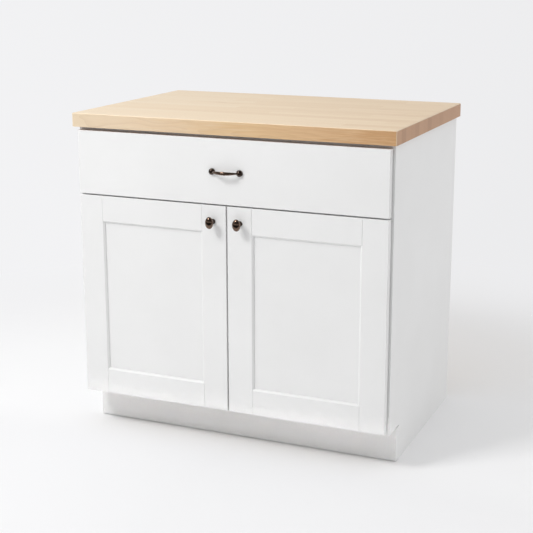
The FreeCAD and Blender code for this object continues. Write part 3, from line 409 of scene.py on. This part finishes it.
finishes = {
    "white_paint": white_paint(),
    "maple_worktop": maple(),
    "antique_bronze": antique_bronze(),
    "zinc_steel": plated_steel("zinc_steel", ZINC, ZINC_ROUGHNESS),
    "nickel_steel": plated_steel("nickel_steel", NICKEL, NICKEL_ROUGHNESS),
    "clear_rubber": clear_rubber(),
}


def finish_of(node):
    """The finish that a node's slot stands for. Each plywood board has its own grain."""
    if SLOT_OF[node] == "birch_ply":
        return birch_ply(node)
    return finishes[SLOT_OF[node]]


# Modelling helpers

DISC_SIDES = 40
TIP = 0.02 * MM
MERGE_WITHIN = TIP / 4
SMOOTH_ANGLE = math.radians(38)
TO_FRONT = (0, -1, 0)
TO_REAR = (0, 1, 0)


def clear_selection():
    """Nothing selected, ready for the next piece."""
    bpy.ops.object.select_all(action="DESELECT")


def select_only(made):
    """Only this piece selected and active."""
    clear_selection()
    made.select_set(True)
    bpy.context.view_layer.objects.active = made


def apply_modifier(made, kind, **settings):
    """A modifier with its settings, applied at once."""
    select_only(made)
    modifier = made.modifiers.new(kind.lower(), kind)
    for name, setting in settings.items():
        setattr(modifier, name, setting)
    bpy.ops.object.modifier_apply(modifier=modifier.name)


def finish_mesh(made):
    """Merges doubles, turns the faces outwards and shades the piece."""
    select_only(made)
    bpy.ops.object.mode_set(mode="EDIT")
    bpy.ops.mesh.select_all(action="SELECT")
    bpy.ops.mesh.remove_doubles(threshold=MERGE_WITHIN)
    bpy.ops.mesh.normals_make_consistent(inside=False)
    bpy.ops.object.mode_set(mode="OBJECT")
    bpy.ops.object.shade_smooth_by_angle(angle=SMOOTH_ANGLE)


def drawn_out(name, rings, sides=DISC_SIDES):
    """A piece drawn out of a disc towards -Y. Each ring is a reach, a half width and a half height."""
    clear_selection()
    bpy.ops.mesh.primitive_circle_add(vertices=sides, radius=1.0, fill_type="NGON",
                                      rotation=(math.radians(90), 0, 0))
    made = bpy.context.object
    made.name = name
    bpy.ops.object.transform_apply(location=True, rotation=True, scale=True)
    bpy.ops.object.mode_set(mode="EDIT")
    bpy.ops.mesh.select_all(action="SELECT")
    reach, wide, high = rings[0]
    bpy.ops.transform.resize(value=(wide, 1, high), center_override=(0, 0, 0))
    bpy.ops.transform.translate(value=(0, -reach, 0))
    for next_reach, next_wide, next_high in rings[1:]:
        bpy.ops.mesh.extrude_region_move(TRANSFORM_OT_translate={"value": (0, reach - next_reach, 0)})
        bpy.ops.transform.resize(value=(next_wide / wide, 1, next_high / high),
                                 center_override=(0, -next_reach, 0))
        reach, wide, high = next_reach, next_wide, next_high
    bpy.ops.mesh.merge(type="CENTER")
    bpy.ops.object.mode_set(mode="OBJECT")
    finish_mesh(made)
    return made


def round_rings(rings):
    """Rings in millimetres that are as high as they are wide."""
    return [(reach * MM, radius * MM, radius * MM) for reach, radius in rings]


def placed(made, places, facing):
    """Copies of a piece, each at its place and turned its own way, joined and settled at the origin."""
    copies = []
    for place, towards in zip(places, facing):
        select_only(made)
        bpy.ops.object.duplicate()
        copy = bpy.context.object
        copy.location = place
        copy.rotation_euler = Vector(TO_FRONT).rotation_difference(Vector(towards)).to_euler()
        copies.append(copy)
    clear_selection()
    for copy in copies:
        copy.select_set(True)
    bpy.context.view_layer.objects.active = copies[0]
    bpy.ops.object.transform_apply(location=True, rotation=True, scale=True)
    if len(copies) > 1:
        bpy.ops.object.join()
    return bpy.context.object


def stands_for(made, name, node):
    """Names a finished piece, gives it the finish of the node's slot, and shows it in the node's place."""
    made.name = name
    made.data.materials.clear()
    made.data.materials.append(finish_of(node))
    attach(made, BODY_OF[node])
    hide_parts(node)


def discard(made):
    """Removes a pattern piece that was only copied, or a blade that has cut."""
    select_only(made)
    bpy.ops.object.delete()


# Knobs, in millimetres and degrees

KNOB_NECK = [(0.0, 7.1), (0.4, 7.5), (2.6, 7.5), (3.0, 7.2), (5.0, 6.1), (7.0, 5.25), (9.0, 4.75),
             (11.0, 4.6), (14.0, 4.8), (17.0, 5.3)]
KNOB_BACK = 6.0
KNOB_BACK_TURNS = (62, 48, 32, 16, 0)
KNOB_DOME = 8.5
DOME_TURNS = (15, 30, 45, 60, 74, 84)


def knob_rings(low, high):
    """The foot, the waisted neck and the oval head, from the door outwards."""
    projection = (high.y - low.y) / MM
    half_width = (high.x - low.x) / 2
    half_height = (high.z - low.z) / 2
    widest = projection - KNOB_DOME
    rings = round_rings(KNOB_NECK)
    turns = [(-KNOB_BACK, turn) for turn in KNOB_BACK_TURNS] + [(KNOB_DOME, turn) for turn in DOME_TURNS]
    for depth, turn in turns:
        angle = math.radians(turn)
        rings.append(((widest + depth * math.sin(angle)) * MM, half_width * math.cos(angle),
                      half_height * math.cos(angle)))
    return rings + [(projection * MM, TIP, TIP)]


def knob(side):
    """One door's knob."""
    node = side + "_door_knob"
    low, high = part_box(node)
    pattern = drawn_out("knob", knob_rings(low, high))
    apply_modifier(pattern, "SUBSURF", levels=1, render_levels=1)
    foot = ((low.x + high.x) / 2, high.y, (low.z + high.z) / 2)
    stands_for(placed(pattern, [foot], [TO_FRONT]), "knob_" + side, node)
    discard(pattern)


# Drawer pull, in millimetres unless a value says otherwise

PULL_FOOT_RADIUS = 9.0
PULL_FOOT_EASE = 0.4
PULL_FOOT_RIM = 2.5
PULL_FOOT_THICK = 10.0
PULL_ROOT = 3.0
PULL_MIDDLE = (10.0, 7.0)
PULL_END = (5.0, 5.0)
BAR_SIDES = 20
BAR_STEPS = 28
BAR_START = 0.5 * MM
BAR_RING = 0.6 * MM
PULL_VOXEL = 0.4 * MM
PULL_SMOOTHING = 8
PULL_SMOOTH_FACTOR = 0.5


def pull_foot():
    """A domed foot."""
    rings = [(0.0, PULL_FOOT_RADIUS - PULL_FOOT_EASE), (PULL_FOOT_EASE, PULL_FOOT_RADIUS),
             (PULL_FOOT_RIM, PULL_FOOT_RADIUS)]
    for turn in DOME_TURNS:
        angle = math.radians(turn)
        rings.append((PULL_FOOT_RIM + (PULL_FOOT_THICK - PULL_FOOT_RIM) * math.sin(angle),
                      PULL_FOOT_RADIUS * math.cos(angle)))
    return drawn_out("pull_foot", round_rings(rings) + [(PULL_FOOT_THICK * MM, TIP, TIP)])


def pull_bar(low, high):
    """A bow from foot to foot that swells in the middle: a ring spun along an arc, then each ring sized."""
    half_span = (high.x - low.x) / 2 - PULL_FOOT_RADIUS * MM
    rise = high.y - low.y - (PULL_MIDDLE[1] / 2 + PULL_ROOT) * MM
    radius = (half_span ** 2 + rise ** 2) / (2 * rise)
    half_turn = math.asin(half_span / radius)
    middle = Vector((0, low.y + PULL_MIDDLE[1] / 2 * MM + radius, (low.z + high.z) / 2))

    def bar_center(turn):
        return middle + Vector((math.sin(turn), -math.cos(turn), 0)) * radius

    clear_selection()
    bpy.ops.mesh.primitive_circle_add(vertices=BAR_SIDES, radius=BAR_START, fill_type="NOTHING",
                                      location=bar_center(-half_turn),
                                      rotation=(0, math.radians(90), -half_turn))
    made = bpy.context.object
    bpy.ops.object.transform_apply(location=True, rotation=True, scale=True)
    bpy.ops.object.mode_set(mode="EDIT")
    bpy.ops.mesh.select_all(action="SELECT")
    bpy.ops.mesh.spin(steps=BAR_STEPS, angle=2 * half_turn, center=middle, axis=(0, 0, -1))
    for step in range(BAR_STEPS + 1):
        share = 2 * step / BAR_STEPS - 1
        center = bar_center(share * half_turn)
        swell = math.cos(share * math.pi / 2) ** 2
        height = PULL_END[0] + swell * (PULL_MIDDLE[0] - PULL_END[0])
        thick = PULL_END[1] + swell * (PULL_MIDDLE[1] - PULL_END[1])
        bpy.ops.mesh.select_all(action="DESELECT")
        bpy.ops.object.mode_set(mode="OBJECT")
        for vertex in made.data.vertices:
            vertex.select = (vertex.co - center).length < BAR_RING
        bpy.ops.object.mode_set(mode="EDIT")
        bpy.ops.transform.resize(value=(thick, thick, height), center_override=center)
    bpy.ops.mesh.select_all(action="SELECT")
    bpy.ops.mesh.fill_holes(sides=0)
    bpy.ops.object.mode_set(mode="OBJECT")
    finish_mesh(made)
    return made


def drawer_pull():
    """Bow pull cast in one with its two feet."""
    low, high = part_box("drawer_pull")
    bar = pull_bar(low, high)
    pattern = pull_foot()
    level = (low.z + high.z) / 2
    inset = PULL_FOOT_RADIUS * MM
    ends = [(low.x + inset, high.y, level), (high.x - inset, high.y, level)]
    feet = placed(pattern, ends, [TO_FRONT] * len(ends))
    discard(pattern)
    select_only(feet)
    bar.select_set(True)
    bpy.ops.object.join()
    apply_modifier(feet, "REMESH", mode="VOXEL", voxel_size=PULL_VOXEL)
    apply_modifier(feet, "SMOOTH", factor=PULL_SMOOTH_FACTOR, iterations=PULL_SMOOTHING)
    finish_mesh(feet)
    stands_for(feet, "bow_pull", "drawer_pull")


# Screws, in millimetres or as shares of a head's thickness and radius

PAN_HEAD = [(0.0, 1.0), (0.4, 1.0), (0.75, 0.88), (0.93, 0.66), (1.0, 0.35)]
FLAT_HEAD_INNER = 0.5
CROSS_LENGTH = 0.95
CROSS_WIDTH = 0.24
CROSS_DEPTH = 1.5
POINT_LENGTH = 3.0
POINT_RADIUS = 0.3
SCREW_SIDES = 24
HEAD_THICK = 2.5
WOOD_HEAD = 4.0
WOOD_SHANK = 2.1
MACHINE_HEAD = 4.5
MACHINE_SHANK = 2.0
RUNNER_HEAD = 3.2
RUNNER_SHANK = 1.7
RUNNER_SHEET = 1.2
PLATE_SCREW_SPACING = 26 * MM


def screw_pattern(head_radius, head_thick, shank_radius, length, flat):
    """A cross-recess screw towards -Y. A flat head's face, or a pan head's underside, is at zero."""
    if flat:
        head = [(-head_thick, shank_radius), (0.0, head_radius), (0.0, head_radius * FLAT_HEAD_INNER)]
        top = 0.0
        start = -length - head_thick
    else:
        head = [(0.0, shank_radius)] + [(head_thick * up, head_radius * out) for up, out in PAN_HEAD]
        top = head_thick
        start = -length
    shank = [(start, POINT_RADIUS), (start + POINT_LENGTH, shank_radius)]
    made = drawn_out("screw", round_rings(shank + head) + [(top * MM, TIP, TIP)], SCREW_SIDES)
    sizes = (CROSS_LENGTH * head_radius, CROSS_WIDTH * head_radius)
    for wide, high in (sizes, sizes[::-1]):
        clear_selection()
        bpy.ops.mesh.primitive_cube_add(size=1.0, location=(0, -top * MM, 0),
                                        scale=(wide * MM, 2 * CROSS_DEPTH * MM, high * MM))
        blade = bpy.context.object
        bpy.ops.object.transform_apply(location=True, rotation=True, scale=True)
        apply_modifier(made, "BOOLEAN", operation="DIFFERENCE", object=blade, solver="EXACT")
        discard(blade)
    finish_mesh(made)
    return made


def corners(node, radius, axes):
    """The four corners of a node's box along two axes, each drawn in by a radius."""
    low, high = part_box(node)
    first, second = axes
    inset = radius * MM
    return [(a, b) for a in (low[first] + inset, high[first] - inset)
            for b in (low[second] + inset, high[second] - inset)]


def screw_set(name, node, pattern, places, facing):
    """All the screws of one node."""
    stands_for(placed(pattern, places, facing), name, node)
    discard(pattern)


def worktop_screws():
    """Up through the corner braces into the worktop."""
    low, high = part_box("worktop_screws")
    length = (high.z - low.z) / MM - HEAD_THICK
    places = [(x, y, low.z + HEAD_THICK * MM) for x, y in corners("worktop_screws", WOOD_HEAD, (0, 1))]
    pattern = screw_pattern(WOOD_HEAD, HEAD_THICK, WOOD_SHANK, length, False)
    screw_set("worktop_screw_set", "worktop_screws", pattern, places, [(0, 0, -1)] * len(places))


def front_screws(name, node, head_radius, shank_radius, spots):
    """Through the back of a drawer front or a door, with their heads to the rear."""
    low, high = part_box(node)
    length = (high.y - low.y) / MM - HEAD_THICK
    places = [(x, high.y - HEAD_THICK * MM, z) for x, z in spots]
    pattern = screw_pattern(head_radius, HEAD_THICK, shank_radius, length, False)
    screw_set(name, node, pattern, places, [TO_REAR] * len(places))


def hinge_screws():
    """Two through each hinge arm into the frame's stile."""
    low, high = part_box("hinge_arm_screws")
    inset = WOOD_HEAD * MM
    levels = (low.z + inset, low.z + inset + PLATE_SCREW_SPACING,
              high.z - inset - PLATE_SCREW_SPACING, high.z - inset)
    reach = min(abs(vertex.co.x) for vertex in frame["nodes"]["hinge_arm_screws"].data.vertices)
    head = reach + HEAD_THICK * MM
    places = [(side * head, (low.y + high.y) / 2, level) for side in (-1, 1) for level in levels]
    facing = [(-math.copysign(1, place[0]), 0, 0) for place in places]
    length = (high.x - head) / MM
    pattern = screw_pattern(WOOD_HEAD, HEAD_THICK, WOOD_SHANK, length, False)
    screw_set("hinge_arm_screw_set", "hinge_arm_screws", pattern, places, facing)


def runner_screws(name, node, inward):
    """Flat heads in the runners' countersinks. Inward is 1 where the heads face the cabinet's middle."""
    low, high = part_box(node)
    widths = [abs(vertex.co.x) for vertex in frame["nodes"][node].data.vertices]
    face = min(widths) if inward > 0 else max(widths)
    inset = RUNNER_HEAD * MM
    ways = (low.y + inset, (low.y + high.y) / 2, high.y - inset)
    places = [(side * face, way, (low.z + high.z) / 2) for side in (-1, 1) for way in ways]
    facing = [(-inward * math.copysign(1, place[0]), 0, 0) for place in places]
    length = (max(widths) - min(widths)) / MM - RUNNER_SHEET
    pattern = screw_pattern(RUNNER_HEAD, RUNNER_SHEET, RUNNER_SHANK, length, True)
    screw_set(name, node, pattern, places, facing)


# Bumpers, in millimetres

BUMPER_RADIUS = 5.0
BUMPER_RINGS = [(0.0, 4.9), (0.3, 5.0), (1.3, 4.9), (2.2, 4.3), (2.9, 3.1), (3.2, 1.6), (3.3, 0.5)]


def bumpers(name, node, spots):
    """Clear domes behind a drawer front or a door."""
    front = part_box(node)[0].y
    pattern = drawn_out("bumper", round_rings(BUMPER_RINGS), SCREW_SIDES)
    places = [(x, front, z) for x, z in spots]
    stands_for(placed(pattern, places, [TO_REAR] * len(places)), name, node)
    discard(pattern)


def middle_of(node):
    """X and Z of the middle of a node's box."""
    low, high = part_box(node)
    return (low.x + high.x) / 2, (low.z + high.z) / 2


def upper_and_lower(node, radius):
    """X and Z of a pair that stands one above the other."""
    low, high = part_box(node)
    return [((low.x + high.x) / 2, low.z + radius * MM), ((low.x + high.x) / 2, high.z - radius * MM)]


def left_and_right(node, radius):
    """X and Z of a pair that stands side by side."""
    low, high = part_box(node)
    return [(low.x + radius * MM, (low.z + high.z) / 2), (high.x - radius * MM, (low.z + high.z) / 2)]


# The cabinet: finishes for the CAD pieces, then the new pieces

for node, piece in frame["nodes"].items():
    piece.data.materials.clear()
    piece.data.materials.append(finish_of(node))

for side in ("left", "right"):
    door = side + "_door_"
    knob(side)
    front_screws("knob_screw_" + side, door + "knob_screw", MACHINE_HEAD, MACHINE_SHANK,
                 [middle_of(door + "knob_screw")])
    bumpers("door_bumpers_" + side, door + "bumpers", upper_and_lower(door + "bumpers", BUMPER_RADIUS))
drawer_pull()
front_screws("pull_screw_set", "drawer_pull_screws", MACHINE_HEAD, MACHINE_SHANK,
             left_and_right("drawer_pull_screws", MACHINE_HEAD))
front_screws("drawer_front_screw_set", "drawer_front_screws", WOOD_HEAD, WOOD_SHANK,
             corners("drawer_front_screws", WOOD_HEAD, (0, 2)))
bumpers("drawer_bumper_set", "drawer_bumpers", corners("drawer_bumpers", BUMPER_RADIUS, (0, 2)))
worktop_screws()
hinge_screws()
runner_screws("runner_cabinet_screw_set", "runner_cabinet_screws", 1)
runner_screws("runner_drawer_screw_set", "runner_drawer_screws", -1)


# Studio, in metres and degrees

FLOOR_REACH = 60.0
FLOOR_COLOUR = (0.92, 0.92, 0.926)
FLOOR_ROUGHNESS = 0.9
PAPER_TONES = [(0.15, (0.893, 0.893, 0.906)), (0.5, (0.84, 0.84, 0.852))]
NEAR_FLOOR = 0.8
FAR_FLOOR = 2.0
NEAR_PAPER = 0.12
TOE_FLOOR = 0.2
FRONT_FLOOR = 0.42
FRONT_PAPER = 0.58
LIT_FRONT = 0.75
DARK_FRONT = 1.6
UNLIT = (0.03, 0.03, 0.03)
UNLIT_SHARE = 0.92
FRONT_HALF = (-0.3, 0.3)
ABOVE_FLOOR = (0.06, 0.2)
SKY_TONES = [(0.0, (0.75, 0.75, 0.76)), (0.3, (0.62, 0.62, 0.62)), (1.0, (0.95, 0.95, 0.95))]
DIM_ROOM = (0.05, 0.05, 0.05)
DIM_TURN = (0.4, 0.85)
DIM_SHARE = 0.68
CAMERA_PLACE = (1.3118, -3.0854, 1.3215)
CAMERA_TURN = 22.745
CAMERA_DIP = 13.728
CAMERA_LENS = 80.0
CAMERA_SHIFT = (-0.0188, -0.0319)


def white_paper(tree, place):
    """The paper's white towards a place, a little brighter on the left, where the light comes from."""
    level = add_node(tree, "VectorMath", {0: place, 1: (1, 1, 0)}, operation="MULTIPLY").outputs[0]
    reach = add_node(tree, "VectorMath", {0: level}, operation="LENGTH").outputs["Value"]
    aside = calc(tree, "DIVIDE", axes_of(tree, place)[0], reach)
    return ramp(tree, spread(tree, aside, 0.0, 1.0, -1.0, 1.0), PAPER_TONES)


def studio_floor():
    """Paper floor that keeps the shadow and fades into an even white. Metal shows it dark in front."""
    clear_selection()
    bpy.ops.mesh.primitive_plane_add(size=2 * FLOOR_REACH)
    made = bpy.context.object
    made.name = "studio_floor"
    finish, tree, shader, place = new_finish("floor_paper", Roughness=FLOOR_ROUGHNESS, Specular_IOR_Level=0.0)
    shader.inputs["Base Color"].default_value = (*FLOOR_COLOUR, 1)
    distance = add_node(tree, "VectorMath", {0: place}, operation="LENGTH").outputs["Value"]
    ahead = calc(tree, "MULTIPLY", axes_of(tree, place)[1], -1.0)
    path = add_node(tree, "LightPath").outputs
    mirrored = calc(tree, "MAXIMUM", path["Is Glossy Ray"], path["Is Transmission Ray"])
    seen = calc(tree, "MAXIMUM", path["Is Camera Ray"], mirrored)
    unlit = calc(tree, "MULTIPLY", path["Is Glossy Ray"], ease_in(tree, ahead, LIT_FRONT, DARK_FRONT))
    front_paper = spread(tree, ease_in(tree, ahead, TOE_FLOOR, FRONT_FLOOR), NEAR_PAPER, FRONT_PAPER)
    far_paper = ease_in(tree, distance, NEAR_FLOOR, FAR_FLOOR)
    paper = calc(tree, "MAXIMUM", far_paper, calc(tree, "MAXIMUM", front_paper, unlit))
    share = calc(tree, "MULTIPLY", seen, paper)
    white = blend(tree, unlit, white_paper(tree, place), UNLIT)
    glow = add_node(tree, "Emission", {"Color": white}).outputs[0]
    mixed = add_node(tree, "MixShader", {0: share, 1: shader.outputs[0], 2: glow}).outputs[0]
    tree.links.new(mixed, tree.nodes["Material Output"].inputs["Surface"])
    made.data.materials.append(finish)


def soft_box(name, place, target, size, watts, mirrored=True, beam=180):
    """A soft light, its size a width and a height, aimed at a target. Metal shows it if it is mirrored."""
    lamp = bpy.data.lights.new(name, "AREA")
    lamp.shape = "RECTANGLE"
    lamp.size, lamp.size_y = size
    lamp.energy = watts
    lamp.spread = math.radians(beam)
    made = bpy.data.objects.new(name, lamp)
    bpy.context.scene.collection.objects.link(made)
    made.location = place
    made.rotation_euler = (Vector(target) - Vector(place)).to_track_quat("-Z", "Y").to_euler()
    made.visible_glossy = mirrored


def room_light():
    """Light from the room, dimmer behind the camera. Metal shows its front half dark, the camera paper."""
    world = bpy.data.worlds.new("room")
    world.use_nodes = True
    bpy.context.scene.world = world
    tree = world.node_tree
    background = tree.nodes["Background"]
    direction = add_node(tree, "TexCoord").outputs["Generated"]
    facing = axes_of(tree, direction)
    above_floor = ease_in(tree, facing[2], *ABOVE_FLOOR)
    turn = math.radians(CAMERA_TURN)
    inputs = {0: direction, 1: (math.sin(turn), -math.cos(turn), 0)}
    behind_camera = add_node(tree, "VectorMath", inputs, operation="DOT_PRODUCT").outputs["Value"]
    dim = calc(tree, "MULTIPLY", ease_in(tree, behind_camera, *DIM_TURN), above_floor)
    sky = ramp(tree, facing[2], SKY_TONES)
    room = blend(tree, calc(tree, "MULTIPLY", dim, DIM_SHARE), sky, DIM_ROOM)
    front_half = ease_in(tree, calc(tree, "MULTIPLY", facing[1], -1.0), *FRONT_HALF)
    unlit = calc(tree, "MULTIPLY", calc(tree, "MULTIPLY", front_half, above_floor), UNLIT_SHARE)
    paper = white_paper(tree, direction)
    mirrored_room = blend(tree, unlit, paper, UNLIT)
    path = add_node(tree, "LightPath").outputs
    light = blend(tree, path["Is Glossy Ray"], room, mirrored_room)
    seen = calc(tree, "MAXIMUM", path["Is Camera Ray"], path["Is Transmission Ray"])
    tree.links.new(blend(tree, seen, light, paper), background.inputs["Color"])


def camera():
    """The photograph's view."""
    lens = bpy.data.cameras.new("camera")
    lens.lens = CAMERA_LENS
    lens.shift_x, lens.shift_y = CAMERA_SHIFT
    lens.clip_end = 4 * FLOOR_REACH
    made = bpy.data.objects.new("camera", lens)
    bpy.context.scene.collection.objects.link(made)
    made.location = CAMERA_PLACE
    made.rotation_euler = (math.radians(90 - CAMERA_DIP), 0, math.radians(CAMERA_TURN))
    bpy.context.scene.camera = made


studio_floor()
room_light()
soft_box("key_light", place=(-1.35, -2.2, 2.9), target=(0, -0.2, 0.5), size=(0.95, 0.95), watts=55.3)
soft_box("toe_light", place=(-0.35, -2.4, 0.08), target=(-0.35, -0.3, 0.08), size=(1.9, 0.04), watts=0.092,
         mirrored=False, beam=4.5)
soft_box("fill_light", place=(3.0, 0.9, 0.45), target=(0.4, 0, 0.1), size=(1.8, 0.8), watts=8.3,
         mirrored=False)
camera()
bpy.context.scene.view_settings.view_transform = "Standard"
